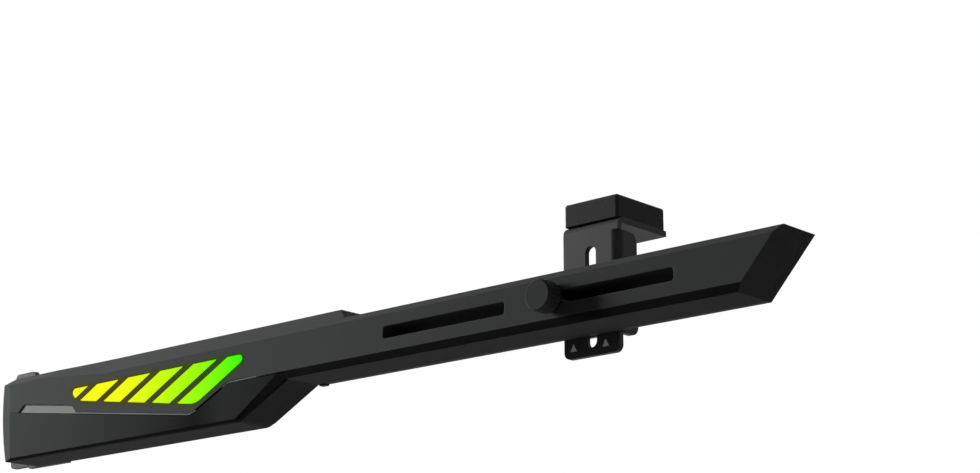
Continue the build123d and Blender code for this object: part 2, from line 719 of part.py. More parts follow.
def support_plate():
    """Bent sheet: an upright with a slot, a shelf bent back under the card, a stiffening flange."""
    low = SLOT_Z - SUPPORT_BELOW
    half = SUPPORT_WIDTH / 2
    bend = SUPPORT_BEND + SUPPORT_SHEET
    shelf_end = SUPPORT_Y + SHELF_DEPTH
    section = make_face(Polyline(
        (SUPPORT_Y, low),
        (SUPPORT_Y, SUPPORT_TOP),
        (shelf_end, SUPPORT_TOP),
        (shelf_end, SUPPORT_TOP - SUPPORT_SHEET),
        (SUPPORT_BACK_Y, SUPPORT_TOP - SUPPORT_SHEET),
        (SUPPORT_BACK_Y, low),
        close=True,
    ))
    section = round_near(section, bend, (SUPPORT_Y, SUPPORT_TOP))
    section = round_near(section, SUPPORT_BEND, (SUPPORT_BACK_Y, SUPPORT_TOP - SUPPORT_SHEET))
    sheet = extrude(Plane.YZ.offset(BOLT_X - half) * section, amount=SUPPORT_WIDTH)

    flange_low = SLOT_Z - FLANGE_BELOW
    flange_high = SUPPORT_TOP - bend - FLANGE_RELIEF
    right = BOLT_X + half
    angle = make_face(Polyline(
        (BOLT_X + half / 2, SUPPORT_Y),
        (right, SUPPORT_Y),
        (right, SUPPORT_Y + FLANGE_DEPTH),
        (right - SUPPORT_SHEET, SUPPORT_Y + FLANGE_DEPTH),
        (right - SUPPORT_SHEET, SUPPORT_BACK_Y),
        (BOLT_X + half / 2, SUPPORT_BACK_Y),
        close=True,
    ))
    angle = round_near(angle, bend, (right, SUPPORT_Y))
    angle = round_near(angle, SUPPORT_BEND, (right - SUPPORT_SHEET, SUPPORT_BACK_Y))
    flange = extrude(Plane.XY.offset(flange_low) * angle, amount=flange_high - flange_low)
    tail = flange.edges().filter_by(Axis.X).group_by(Axis.Y)[-1]
    flange = fillet(tail, FLANGE_CORNER)

    strip_low = box_face(right - bend, right + OVER, flange_low, flange_high)
    sheet -= slab(strip_low, SUPPORT_BACK_Y, SUPPORT_Y)
    sheet += flange
    corners = sheet.edges().filter_by(Axis.Y).group_by(Axis.Z)[0]
    sheet = fillet(corners, SUPPORT_CORNER)

    slot_low = SLOT_Z - SUPPORT_SLOT_BELOW
    slot_high = SLOT_Z + SUPPORT_SLOT_ABOVE
    slot = SlotOverall(slot_high - slot_low, SLOT_WIDTH, rotation=90)
    place = Pos(BOLT_X, (slot_low + slot_high) / 2)
    return sheet - slab(place * slot, SUPPORT_BACK_Y + OVER, SUPPORT_Y - OVER)


def support_pad():
    """Rubber block on the shelf, with broken edges."""
    width = SUPPORT_WIDTH - 2 * PAD_INSET
    depth = SHELF_DEPTH - 2 * PAD_INSET
    pad = Pos(BOLT_X, SUPPORT_Y + SHELF_DEPTH / 2, SUPPORT_TOP + PAD / 2) * Box(width, depth, PAD)
    upright = pad.edges().filter_by(Axis.Z)
    pad = fillet(upright, PAD_CORNER)
    rim = pad.edges().group_by(Axis.Z)[-1]
    return fillet(rim, PAD_CORNER)


def slide_guide():
    """Spacer between arm and support, with a key in the arm's slot."""
    rest = Pos(BOLT_X, SLOT_Z)
    key_width = SLOT_WIDTH - 2 * SLIDE_PLAY
    body = slab(rest * RectangleRounded(GUIDE_WIDTH, GUIDE_HEIGHT, GUIDE_CORNER), GUIDE, SLIDE_PLAY)
    body += slab(rest * Rectangle(GUIDE_KEY, key_width), SLIDE_PLAY, SLIDE_PLAY - PLATE)
    return body - slab(rest * Circle(BOLT_R + NECK_PLAY), GUIDE + OVER, -PLATE - OVER)


def clamp_bolt():
    """Round-headed bolt from behind, with a square neck that stands in the support's slot."""
    rest = Pos(BOLT_X, SLOT_Z)
    head_y = SUPPORT_BACK_Y + SLIDE_PLAY + CLAMP_PLATE
    shank = slab(rest * Circle(BOLT_R), head_y, KNOB_REAR_Y - BOLT_IN_KNOB)
    neck_side = SLOT_WIDTH - 2 * NECK_PLAY
    neck = slab(rest * Rectangle(neck_side, neck_side), head_y, SUPPORT_Y + SLIDE_PLAY)
    head = slab(rest * Circle(BOLT_HEAD_R), head_y + BOLT_HEAD, head_y)
    head = fillet(head.edges().group_by(Axis.Y)[-1], BOLT_HEAD_ROUND)
    return shank + neck + head


def clamp_plate():
    """Square-holed plate under the bolt's head, which spreads its pull over the support."""
    middle = SLOT_Z + (CLAMP_ABOVE - CLAMP_BELOW) / 2
    face = Pos(BOLT_X, middle) * RectangleRounded(CLAMP_WIDTH, CLAMP_ABOVE + CLAMP_BELOW, CLAMP_CORNER)
    face -= Pos(BOLT_X, SLOT_Z) * Rectangle(SLOT_WIDTH, SLOT_WIDTH)
    rear = SUPPORT_BACK_Y + SLIDE_PLAY + CLAMP_PLATE
    return slab(face, rear, rear - CLAMP_PLATE)


def knob_washer():
    rest = Pos(BOLT_X, SLOT_Z)
    ring = rest * Circle(KNOB_WASHER_R) - rest * Circle(BOLT_R + NECK_PLAY)
    return slab(ring, FRONT_Y - SLIDE_PLAY, FRONT_Y - SLIDE_PLAY - KNOB_WASHER)


def thumb_knob():
    """Blind thumb nut, finely fluted behind a plain rim."""
    rest = Pos(BOLT_X, SLOT_Z)
    front = KNOB_REAR_Y - KNOB_LENGTH
    knob = slab(rest * Circle(KNOB_R), KNOB_REAR_Y, front)
    knob = chamfer(knob.edges().filter_by(GeomType.CIRCLE), KNOB_EDGE)
    for number in range(KNOB_FLUTES):
        turn = 2 * math.pi * number / KNOB_FLUTES
        x = BOLT_X + (KNOB_R + KNOB_FLUTE_OUT) * math.cos(turn)
        z = SLOT_Z + (KNOB_R + KNOB_FLUTE_OUT) * math.sin(turn)
        knob -= slab(disc(x, z, KNOB_FLUTE_R), KNOB_REAR_Y, front + KNOB_RIM)
    pocket = rest * Circle(INSERT_R + INSERT_PLAY)
    return knob - slab(pocket, KNOB_REAR_Y, KNOB_REAR_Y - INSERT_LENGTH - INSERT_PLAY)


def knob_insert():
    """Brass sleeve in the thumb nut that runs on the bolt."""
    rest = Pos(BOLT_X, SLOT_Z)
    ring = rest * Circle(INSERT_R) - rest * Circle(BOLT_R + RUNNING_FIT)
    return slab(ring, KNOB_REAR_Y, KNOB_REAR_Y - INSERT_LENGTH)


def write(name, parts):
    """Writes one node: a single solid, or a group of separate ones."""
    shape = Compound(children=list(parts)) if isinstance(parts, list) else parts
    export_step(shape, os.path.join("parts", name + ".step"))


def main():
    os.makedirs("parts", exist_ok=True)
    outline = arm_outline()
    write("arm_housing", arm_housing(outline))
    write("lower_panel", lower_panel(outline))
    write("accent_strip", accent_strip())
    write("back_plate", back_plate(outline))
    write("plate_screws", plate_screws())
    write("light_diffuser", light_diffuser())
    write("led_board", led_board())
    write("leds", leds())
    write("board_capacitors", board_capacitors())
    write("board_screws", board_screws())
    write("light_socket", light_socket())
    write("socket_pins", socket_pins())
    write("support_plate", support_plate())
    write("support_pad", support_pad())
    write("slide_guide", slide_guide())
    write("clamp_bolt", clamp_bolt())
    write("clamp_plate", clamp_plate())
    write("knob_washer", knob_washer())
    write("thumb_knob", thumb_knob())
    write("knob_insert", knob_insert())


main()
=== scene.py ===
"""Looks of a graphics card support bracket: finishes, printed marks, light and camera."""
import math

import bpy
from bpy.props import FloatProperty, FloatVectorProperty, PointerProperty
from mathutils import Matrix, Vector


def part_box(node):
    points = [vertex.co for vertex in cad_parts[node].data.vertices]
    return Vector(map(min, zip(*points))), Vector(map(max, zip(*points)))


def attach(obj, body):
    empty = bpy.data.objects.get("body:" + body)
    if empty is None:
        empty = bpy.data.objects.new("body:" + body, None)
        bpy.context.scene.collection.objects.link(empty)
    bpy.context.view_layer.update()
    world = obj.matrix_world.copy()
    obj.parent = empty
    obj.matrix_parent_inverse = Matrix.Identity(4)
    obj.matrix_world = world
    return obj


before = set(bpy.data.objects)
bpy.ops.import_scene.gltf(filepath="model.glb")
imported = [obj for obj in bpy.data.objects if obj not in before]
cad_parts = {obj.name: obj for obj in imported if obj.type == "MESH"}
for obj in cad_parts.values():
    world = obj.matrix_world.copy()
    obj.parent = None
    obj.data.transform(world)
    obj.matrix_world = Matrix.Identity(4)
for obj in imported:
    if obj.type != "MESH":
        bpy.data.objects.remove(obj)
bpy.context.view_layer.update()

bl_info = {
    "name": "Graphics card support bracket",
    "version": (1, 0, 0),
    "blender": (4, 5, 0),
    "location": "3D View > Sidebar > Bracket",
    "description": "Finishes the solids of a support bracket, prints its marks and sets its stage",
    "category": "Object",
}

MM = 0.001

# Places taken from the solids
BARS_LOW, BARS_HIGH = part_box("light_diffuser")
PANEL_LOW, PANEL_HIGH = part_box("lower_panel")
SUPPORT_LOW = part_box("support_plate")[0]
BOLT_LOW, BOLT_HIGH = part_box("clamp_bolt")
BOLT_MIDDLE = (BOLT_LOW + BOLT_HIGH) / 2

# Outline of the row of lit bars, with slopes as height per length
BAR_LEAN = math.tan(math.radians(26.5))     # rise of the slanted bars
ROW_FALL = 0.143                            # fall of the row's lower edge
ROW_CUT = 1.0                               # fall of the first bar's cut-off end
ROW_END = 6.7 * MM                          # from the row's sharp corner back to the last bar's round end

# Light of the bars, and their light painted into the plastic beside them
BAR_STOPS = (0.30, 0.58, 0.90)     # shares of the row's length with the left, middle and right colour
PAINTED_GLOW_START = -0.5 * MM             # depth into the row where the bars' painted light on the plastic beside them starts
PAINTED_GLOW_FULL = 0.3 * MM               # depth into the row from which that painted light is full
PAINTED_GLOW_SHARE = 0.93                  # how far that painted light hides the plastic's own tone
RIM_SIZE = 0.5 * MM                # width of the dim rim of a bar
RIM_TINT = (0.80, 0.82, 0.70)      # what a bar keeps of its light at the rim
UNLIT_TINT = (0.02, 0.02, 0.02)    # what a bar keeps of its colour under other light

# Moulded plastics
CLOUD_SIZE = 45 * MM               # soft clouds in a moulding's tone
SPECKLE = 0.10                     # how far the grain speckles the tone
MOULD_SWING = 0.05                 # how far the roughness swings either way
SHADED_CUT_FACING = (0.0, -0.891, -0.454)     # way that the steep cuts along the lower front edges look, which get painted shade
SHADED_CUT_WIDTH = 0.07                   # 1 minus the cosine of the turn past which a face isn't such a cut

# Share of the lower panel's length and the brightness of a painted sheen and shade there: it sinks towards
# the lowest point of the upper edge, then starts again and sinks towards the slim part
PANEL_PAINTED_SHEEN = (
    (0.0, 1.0), (0.22, 0.89), (0.45, 0.60), (0.60, 0.36),
    (0.71, 0.10), (0.80, 0.50), (0.93, 0.36), (1.0, 0.16))

# Powder coat
PEEL_SIZE = 0.9 * MM               # waves of the orange peel
PEEL_RELIEF = 0.03 * MM
FLECK_SIZE = 0.35 * MM             # coarser than real flecks, so that they show in the render
COAT_EDGE = 0.2 * MM               # edge where the coat lies thin
COAT_WEAR = 1.8                    # how much lighter that edge is

# Plated and drawn metal
STREAK_STRETCH = (1.0, 0.12, 1.0)  # scale that draws the streaks out along the depth
STREAK_RELIEF = 0.01 * MM
METAL_EDGE = 0.12 * MM             # broken edge of a metal piece
METAL_SWING = 0.08                 # how far the roughness swings either way

# Other surfaces
PEBBLE_SIZE = 0.6 * MM             # pebble of the rubber
PEBBLE_RELIEF = 0.06 * MM
DUST_SIZE = 8 * MM                 # patches of dust on the rubber
TRACK_SPACING = 6 * MM             # tracks under the solder resist
THREAD_SPACING = 0.3 * MM          # printing screen's threads, coarser than real ones so that they show
FLOOR_CLOUD = 1 / 3                # soft clouds in the floor's paper, three to a metre

# A triangle whose corners lie 1 from its middle
TRIANGLE_SIDE = math.sqrt(3)
TRIANGLE_HEIGHT = 1.5
TRIANGLE_MIDDLE = 1 / 3            # share of the height where the middle lies

# Stage
LAMPS = ("key", "fill", "top", "rear")
LAMP_PARTS = ("place", "aim", "power", "size", "spread")
CLIP_START = 10 * MM               # nearest distance that the camera sees

# Sockets of a Mix node set to colours, by number because its other kinds of value share their names
MIX_SHARE, MIX_FIRST, MIX_SECOND = 0, 6, 7
MIX_RESULT = 2


def linear(hex_colour):
    """Linear values of an sRGB hex colour."""
    shares = [int(hex_colour[start:start + 2], 16) / 255 for start in (0, 2, 4)]
    return tuple(v / 12.92 if v <= 0.04045 else ((v + 0.055) / 1.055) ** 2.4 for v in shares)


def colour(name, description, hex_colour):
    """Colour property with an sRGB default."""
    return FloatVectorProperty(
        name=name, description=description, subtype="COLOR", size=3, min=0, max=1,
        default=linear(hex_colour))


def length(name, description, millimetres):
    """Length property with a default in millimetres."""
    return FloatProperty(
        name=name, description=description, unit="LENGTH", precision=5, min=0,
        default=millimetres * MM)


def place(name, description, metres):
    """Property of a point, with a default in metres."""
    return FloatVectorProperty(
        name=name, description=description, subtype="TRANSLATION", unit="LENGTH", size=3, default=metres)


def angle(name, description, degrees):
    """Angle property with a default in degrees."""
    return FloatProperty(name=name, description=description, subtype="ANGLE", default=math.radians(degrees))


def power(name, description, watts):
    """Lamp power property with a default in watts."""
    return FloatProperty(name=name, description=description, unit="POWER", min=0, default=watts)


def optic(name, description, millimetres):
    """Camera length property, which stays in millimetres."""
    return FloatProperty(name=name, description=description, unit="CAMERA", min=1, default=millimetres)


def brightness(name, description, value):
    """Property of a light's strength, where 1 is white to the eye."""
    return FloatProperty(name=name, description=description, min=0, default=value)


class BracketFinishes(bpy.types.PropertyGroup):
    """Colours of the bracket's finishes"""

    arm: colour("Arm", "Textured plastic of the arm", "404241")
    panel: colour("Lower panel", "Satin plastic of the head's lower panel", "353736")
    strip: colour("Accent strip", "Satin grey plastic strip", "727471")
    plate: colour("Back plate", "Powder coat of the back plate and its ear", "363736")
    coat: colour("Support", "Powder coat of the bent support", "363736")
    screw: colour("Black screws", "Black zinc plate of the screws and the bolt", "26272a")
    bar_left: colour("Light, left", "Glow of the first light bars", "f6fc1a")
    bar_middle: colour("Light, middle", "Glow between the fourth and the fifth light bar", "b5fb10")
    bar_right: colour("Light, right", "Glow of the last light bar's end", "41f90e")
    # Light that the bars throw on the plastic beside them, painted into its colour
    painted_glow_left: colour("Lit plastic, left", "Plastic between the first light bars", "464109")
    painted_glow_middle: colour("Lit plastic, middle", "Plastic beside the fourth light bar", "3c4612")
    painted_glow_right: colour("Lit plastic, right", "Plastic beside the last light bar", "2b4f0c")
    resist: colour("Board", "Solder resist of the light board", "e8e8e2")
    package: colour("Light sources", "Moulded package of the light sources", "eceadf")
    chip: colour("Capacitors", "Fired ceramic of the chip capacitors", "8c735a")
    zinc: colour("Bright zinc", "Zinc plate of the clamp plate and the board's screws", "7e8184")
    socket: colour("Socket", "Natural nylon of the light socket", "e0ded2")
    brass: colour("Brass", "Pins of the socket and sleeve of the thumb nut", "cfae62")
    rubber: colour("Rubber", "Pad on top of the support", "161616")
    nylon: colour("Black nylon", "Slide guide and washer", "1b1b1c")
    knob: colour("Thumb nut", "Moulded body of the thumb nut", "3d3f3e")
    ink: colour("Ink", "Printed arrows on the support", "f2f4f2")


class BracketMarks(bpy.types.PropertyGroup):
    """Printed arrows on the support"""

    width: length("Width", "Base of an arrow", 2.1)
    height: length("Height", "Height of an arrow", 2.0)
    spread: length("Spread", "From the middle between the arrows to an arrow's middle", 5.1)
    rise: length("Rise", "From the support's lower edge to an arrow's base", 1.8)
    shift: length("Shift", "From the bolt's axis to the middle between the arrows", 0.7)
    thickness: length("Thickness", "Thickness of the ink", 0.04)


class BracketStage(bpy.types.PropertyGroup):
    """Camera, lamps and floor"""

    eye: place("Camera", "Place of the camera", (0.54129, -0.38155, -0.11446))
    heading: angle("Heading", "Turn of the view from straight at the front", 41.81)
    pitch: angle("Pitch", "Upward tilt of the view", 15.26)
    lens: optic("Lens", "Focal length on the sensor's width", 74.39)
    sensor: optic("Sensor", "Width of the sensor", 36.0)
    key_place: place("Key lamp", "Lamp far to the left that grazes the front", (-0.70, -0.315, 0.26))
    key_aim: place("Key lamp's aim", "Point that the key lamp faces", (-0.03, 0.0, 0.0))
    key_power: power("Key power", "Power of the key lamp", 1.85)
    key_size: length("Key size", "Side of the key lamp", 300)
    key_spread: angle("Key spread", "Opening of the key lamp's beam", 50)
    fill_place: place("Fill lamp", "Lamp below and behind, beside the head", (-0.50, 0.30, -0.46))
    fill_aim: place("Fill lamp's aim", "Point that the fill lamp faces", (0.10, 0.0, 0.0))
    fill_power: power("Fill power", "Power of the fill lamp", 0.17)
    fill_size: length("Fill size", "Side of the fill lamp", 200)
    fill_spread: angle("Fill spread", "Opening of the fill lamp's beam", 60)
    top_place: place("Top lamp", "Soft lamp above and behind", (0.05, 0.32, 0.72))
    top_aim: place("Top lamp's aim", "Point that the top lamp faces", (0.12, 0.0, 0.0))
    top_power: power("Top power", "Power of the top lamp", 2.0)
    top_size: length("Top size", "Side of the top lamp", 400)
    top_spread: angle("Top spread", "Opening of the top lamp's beam", 180)
    rear_place: place("Rear lamp", "Soft lamp that lights the back", (-0.25, 1.0, 0.30))
    rear_aim: place("Rear lamp's aim", "Point that the rear lamp faces", (0.15, 0.0, 0.0))
    rear_power: power("Rear power", "Power of the rear lamp", 0.85)
    rear_size: length("Rear size", "Side of the rear lamp", 300)
    rear_spread: angle("Rear spread", "Opening of the rear lamp's beam", 40)
    ambient: brightness("Ambient", "Light of the surroundings on dull surfaces", 0.09)
    floor_level: FloatProperty(
        name="Floor level", description="Height of the floor", unit="LENGTH", default=-0.55)
    floor_size: length("Floor size", "Side of the floor", 6000)
    floor_glow: brightness("Floor glow", "Paleness that the floor shows the eye beside its light", 0.75)
    floor: colour("Floor", "Pale paper of the floor", "e6e6e4")


def add_node(tree, kind, settings, inputs):
    """Adds a node to a tree; an input given as a socket is linked, any other value is set on it."""
    node = tree.nodes.new(kind)
    for key, value in settings.items():
        setattr(node, key, value)
    for key, value in inputs.items():
        if isinstance(value, bpy.types.NodeSocket):
            tree.links.new(value, node.inputs[key])
        else:
            node.inputs[key].default_value = value
    return node


def start_material(name):
    """Empty material; gives it, its tree and its object coordinates."""
    material = bpy.data.materials.new(name)
    material.use_nodes = True
    tree = material.node_tree
    tree.nodes.clear()
    coordinates = add_node(tree, "ShaderNodeTexCoord", {}, {})
    return material, tree, coordinates.outputs["Object"]


def rgba(value):
    """A colour with full cover, as a socket takes it."""
    return (*value, 1.0)


def shade(value, factor):
    """A colour made lighter or darker, as a socket takes it."""
    return rgba(min(1.0, part * factor) for part in value)


def edge_share(tree, rounded, reach):
    """How near a point lies to an edge, from 0 on flat ground to 1, by the rounded normal's lean.

    reach is the cosine of the lean that counts as the edge itself.
    """
    true_normal = add_node(tree, "ShaderNodeNewGeometry", {}, {}).outputs["Normal"]
    lean = add_node(tree, "ShaderNodeVectorMath", {"operation": "DOT_PRODUCT"}, {
        0: rounded, 1: true_normal})
    share = add_node(tree, "ShaderNodeMapRange", {}, {
        "Value": lean.outputs["Value"], "From Min": 1.0, "From Max": reach, "To Min": 0.0, "To Max": 1.0})
    return share.outputs["Result"]


def facing_share(tree, direction, width):
    """How far a face looks in a direction of the piece's own frame, from 0 to 1."""
    normal = add_node(tree, "ShaderNodeTexCoord", {}, {}).outputs["Normal"]
    match = add_node(tree, "ShaderNodeVectorMath", {"operation": "DOT_PRODUCT"}, {0: normal, 1: direction})
    share = add_node(tree, "ShaderNodeMapRange", {}, {
        "Value": match.outputs["Value"], "From Min": 1.0 - width, "From Max": 1.0 - width / 2})
    return share.outputs["Result"]


def row_sides():
    """Sides of the row of lit bars: directions that point inwards, and their distances from the origin."""
    high_left = Vector((BARS_LOW.x, 0, BARS_HIGH.z))
    high_right = Vector((BARS_HIGH.x, 0, BARS_HIGH.z))
    low_right = Vector((BARS_HIGH.x - (BARS_HIGH.z - BARS_LOW.z) / BAR_LEAN, 0, BARS_LOW.z))
    round_end = Vector((BARS_HIGH.x - ROW_END, 0, 0))
    sides = []
    for corner, inward in (
            (high_left, Vector((0, 0, -1))), (high_right, Vector((-BAR_LEAN, 0, 1))),
            (low_right, Vector((ROW_FALL, 0, 1))), (high_left, Vector((ROW_CUT, 0, 1))),
            (round_end, Vector((-1, 0, 0)))):
        inward.normalize()
        sides.append((inward, inward.dot(corner)))
    return sides


def painted_glow_share(tree, spot):
    """How far the bars' light is painted on a point, from 0 outside their row to nearly 1 between them."""
    nearest = None
    for inward, start in row_sides():
        reach = add_node(tree, "ShaderNodeVectorMath", {"operation": "DOT_PRODUCT"}, {0: spot, 1: inward})
        depth = add_node(tree, "ShaderNodeMath", {"operation": "SUBTRACT"}, {
            0: reach.outputs["Value"], 1: start}).outputs["Value"]
        if nearest is None:
            nearest = depth
        else:
            nearest = add_node(tree, "ShaderNodeMath", {"operation": "MINIMUM"}, {
                0: nearest, 1: depth}).outputs["Value"]
    share = add_node(tree, "ShaderNodeMapRange", {}, {
        "Value": nearest, "From Min": PAINTED_GLOW_START, "From Max": PAINTED_GLOW_FULL, "To Max": PAINTED_GLOW_SHARE})
    return share.outputs["Result"]


def graded(tree, spot, low, high, stops):
    """Colour that changes along X between two places, from pairs of a share of the way and a colour."""
    along = add_node(tree, "ShaderNodeSeparateXYZ", {}, {"Vector": spot})
    share = add_node(tree, "ShaderNodeMapRange", {}, {
        "Value": along.outputs["X"], "From Min": low, "From Max": high})
    ramp = add_node(tree, "ShaderNodeValToRGB", {}, {"Fac": share.outputs["Result"]})
    elements = ramp.color_ramp.elements
    while len(elements) < len(stops):
        elements.new(1.0)
    for element, (at, tint) in zip(elements, stops):
        element.position = at
        element.color = rgba(tint)
    return ramp.outputs["Color"]


def along_bars(tree, spot, tints):
    """Colour that runs along the row of lit bars through its left, middle and right tint."""
    return graded(tree, spot, BARS_LOW.x, BARS_HIGH.x, list(zip(BAR_STOPS, tints)))


def painted_sheen_along_panel(tree, spot, painted_sheen):
    """Painted sheen and shade that runs along the lower panel as a grey, from pairs of a share of the way and
    a brightness.
    """
    stops = [(at, (value, value, value)) for at, value in painted_sheen]
    return graded(tree, spot, PANEL_LOW.x, PANEL_HIGH.x, stops)


def moulded(name, tint, grain, relief, roughness, gloss, edge, wear_and_highlight, painted_cut_shade=1.0, painted_sheen=(), glow=()):
    """Plastic from a textured mould: a fine even grain, clouded a little, edges lighter by rubbed wear and a
    painted highlight.

    grain, relief and edge are in millimetres. The grain is coarser than a real mould's, so that it shows in
    the render. wear_and_highlight is how much lighter an edge is, partly rubbed wear and partly a painted
    highlight. painted_cut_shade is how much darker the steep cuts along the lower front edges are, painted
    shade for the light that misses them. painted_sheen paints a sheen and shade that sink along the lower
    panel. glow holds the tints of the bars' light painted on the plastic beside them, from left to right.
    """
    material, tree, spot = start_material(name)
    cloud = add_node(tree, "ShaderNodeTexNoise", {}, {
        "Vector": spot, "Scale": 1 / CLOUD_SIZE, "Detail": 3.0, "Roughness": 0.55}).outputs["Fac"]
    grit = add_node(tree, "ShaderNodeTexNoise", {}, {
        "Vector": spot, "Scale": 1 / (grain * MM), "Detail": 2.0, "Roughness": 0.6})
    rounded = add_node(tree, "ShaderNodeBevel", {"samples": 6}, {"Radius": edge * MM}).outputs["Normal"]
    clouded = add_node(tree, "ShaderNodeMix", {"data_type": "RGBA"}, {
        MIX_SHARE: cloud, MIX_FIRST: shade(tint, 0.93), MIX_SECOND: shade(tint, 1.07)})
    speckled = add_node(tree, "ShaderNodeMix", {"data_type": "RGBA", "blend_type": "OVERLAY"}, {
        MIX_SHARE: SPECKLE, MIX_FIRST: clouded.outputs[MIX_RESULT], MIX_SECOND: grit.outputs["Color"]})
    # Edges are lightened: rubbed wear, and a painted highlight
    tone = add_node(tree, "ShaderNodeMix", {"data_type": "RGBA"}, {
        MIX_SHARE: edge_share(tree, rounded, reach=0.86), MIX_FIRST: speckled.outputs[MIX_RESULT],
        MIX_SECOND: shade(tint, wear_and_highlight)}).outputs[MIX_RESULT]
    # Painted sheen and shade: the tone is darkened along the lower panel
    if painted_sheen:
        tone = add_node(tree, "ShaderNodeMix", {"data_type": "RGBA", "blend_type": "MULTIPLY"}, {
            MIX_SHARE: 1.0, MIX_FIRST: tone, MIX_SECOND: painted_sheen_along_panel(tree, spot, painted_sheen)}).outputs[MIX_RESULT]
    # Painted light: the bars' glow is painted into the plastic beside them
    if glow:
        tone = add_node(tree, "ShaderNodeMix", {"data_type": "RGBA"}, {
            MIX_SHARE: painted_glow_share(tree, spot), MIX_FIRST: tone,
            MIX_SECOND: along_bars(tree, spot, glow)}).outputs[MIX_RESULT]
    # Painted shade on the steep lower cuts, picked by the way a face looks
    if painted_cut_shade < 1.0:
        tone = add_node(tree, "ShaderNodeMix", {"data_type": "RGBA"}, {
            MIX_SHARE: facing_share(tree, SHADED_CUT_FACING, SHADED_CUT_WIDTH), MIX_FIRST: tone,
            MIX_SECOND: shade(tint, painted_cut_shade)}).outputs[MIX_RESULT]
    rough = add_node(tree, "ShaderNodeMapRange", {}, {
        "Value": cloud, "To Min": roughness - MOULD_SWING, "To Max": roughness + MOULD_SWING})
    bump = add_node(tree, "ShaderNodeBump", {}, {
        "Strength": 0.6, "Distance": relief * MM, "Height": grit.outputs["Fac"], "Normal": rounded})
    surface = add_node(tree, "ShaderNodeBsdfPrincipled", {}, {
        "Base Color": tone, "Roughness": rough.outputs["Result"], "IOR": 1.53,
        "Specular IOR Level": gloss, "Normal": bump.outputs["Normal"]})
    add_node(tree, "ShaderNodeOutputMaterial", {}, {"Surface": surface.outputs["BSDF"]})
    return material


def powder_coat(name, tint, gloss):
    """Powder coat baked on steel sheet: a soft orange peel with fine flecks and a dull sheen."""
    material, tree, spot = start_material(name)
    peel = add_node(tree, "ShaderNodeTexNoise", {}, {
        "Vector": spot, "Scale": 1 / PEEL_SIZE, "Detail": 2.0, "Roughness": 0.5}).outputs["Fac"]
    fleck = add_node(tree, "ShaderNodeTexVoronoi", {}, {
        "Vector": spot, "Scale": 1 / FLECK_SIZE, "Randomness": 1.0})
    rounded = add_node(tree, "ShaderNodeBevel", {"samples": 6}, {"Radius": COAT_EDGE}).outputs["Normal"]
    flecked = add_node(tree, "ShaderNodeMix", {"data_type": "RGBA"}, {
        MIX_SHARE: fleck.outputs["Distance"], MIX_FIRST: shade(tint, 1.15), MIX_SECOND: shade(tint, 0.85)})
    rubbed = add_node(tree, "ShaderNodeMix", {"data_type": "RGBA"}, {
        MIX_SHARE: edge_share(tree, rounded, reach=0.75), MIX_FIRST: flecked.outputs[MIX_RESULT],
        MIX_SECOND: shade(tint, COAT_WEAR)})
    rough = add_node(tree, "ShaderNodeMapRange", {}, {"Value": peel, "To Min": 0.42, "To Max": 0.58})
    bump = add_node(tree, "ShaderNodeBump", {}, {
        "Strength": 0.5, "Distance": PEEL_RELIEF, "Height": peel, "Normal": rounded})
    surface = add_node(tree, "ShaderNodeBsdfPrincipled", {}, {
        "Base Color": rubbed.outputs[MIX_RESULT], "Roughness": rough.outputs["Result"], "IOR": 1.5,
        "Specular IOR Level": gloss, "Normal": bump.outputs["Normal"]})
    add_node(tree, "ShaderNodeOutputMaterial", {}, {"Surface": surface.outputs["BSDF"]})
    return material


def plated(name, tint, roughness, streak):
    """Plated or drawn metal: tight streaks along the depth that blur its highlights one way.

    streak is a streak's width in millimetres.
    """
    material, tree, spot = start_material(name)
    stretched = add_node(tree, "ShaderNodeMapping", {}, {"Vector": spot, "Scale": STREAK_STRETCH})
    streaks = add_node(tree, "ShaderNodeTexNoise", {}, {
        "Vector": stretched.outputs["Vector"], "Scale": 1 / (streak * MM), "Detail": 3.0}).outputs["Fac"]
    rounded = add_node(tree, "ShaderNodeBevel", {"samples": 6}, {"Radius": METAL_EDGE}).outputs["Normal"]
    tone = add_node(tree, "ShaderNodeMix", {"data_type": "RGBA"}, {
        MIX_SHARE: streaks, MIX_FIRST: shade(tint, 0.85), MIX_SECOND: shade(tint, 1.1)})
    rough = add_node(tree, "ShaderNodeMapRange", {}, {
        "Value": streaks, "To Min": roughness - METAL_SWING, "To Max": roughness + METAL_SWING})
    bump = add_node(tree, "ShaderNodeBump", {}, {
        "Strength": 0.35, "Distance": STREAK_RELIEF, "Height": streaks, "Normal": rounded})
    surface = add_node(tree, "ShaderNodeBsdfPrincipled", {}, {
        "Base Color": tone.outputs[MIX_RESULT], "Metallic": 1.0, "Roughness": rough.outputs["Result"],
        "Normal": bump.outputs["Normal"]})
    add_node(tree, "ShaderNodeOutputMaterial", {}, {"Surface": surface.outputs["BSDF"]})
    return material


def lit_opal(name, tints):
    """Opal acrylic lit from behind: an even glow that runs from yellow to green and dims at the rims."""
    material, tree, spot = start_material(name)
    rounded = add_node(tree, "ShaderNodeBevel", {"samples": 8}, {"Radius": RIM_SIZE}).outputs["Normal"]
    glow = add_node(tree, "ShaderNodeMix", {"data_type": "RGBA", "blend_type": "MULTIPLY"}, {
        MIX_SHARE: edge_share(tree, rounded, reach=0.72), MIX_FIRST: along_bars(tree, spot, tints),
        MIX_SECOND: rgba(RIM_TINT)}).outputs[MIX_RESULT]
    unlit = add_node(tree, "ShaderNodeMix", {"data_type": "RGBA", "blend_type": "MULTIPLY"}, {
        MIX_SHARE: 1.0, MIX_FIRST: glow, MIX_SECOND: rgba(UNLIT_TINT)})
    surface = add_node(tree, "ShaderNodeBsdfPrincipled", {}, {
        "Base Color": unlit.outputs[MIX_RESULT], "Roughness": 0.45, "IOR": 1.49, "Specular IOR Level": 0.0,
        "Emission Color": glow, "Emission Strength": 1.0})
    add_node(tree, "ShaderNodeOutputMaterial", {}, {"Surface": surface.outputs["BSDF"]})
    return material


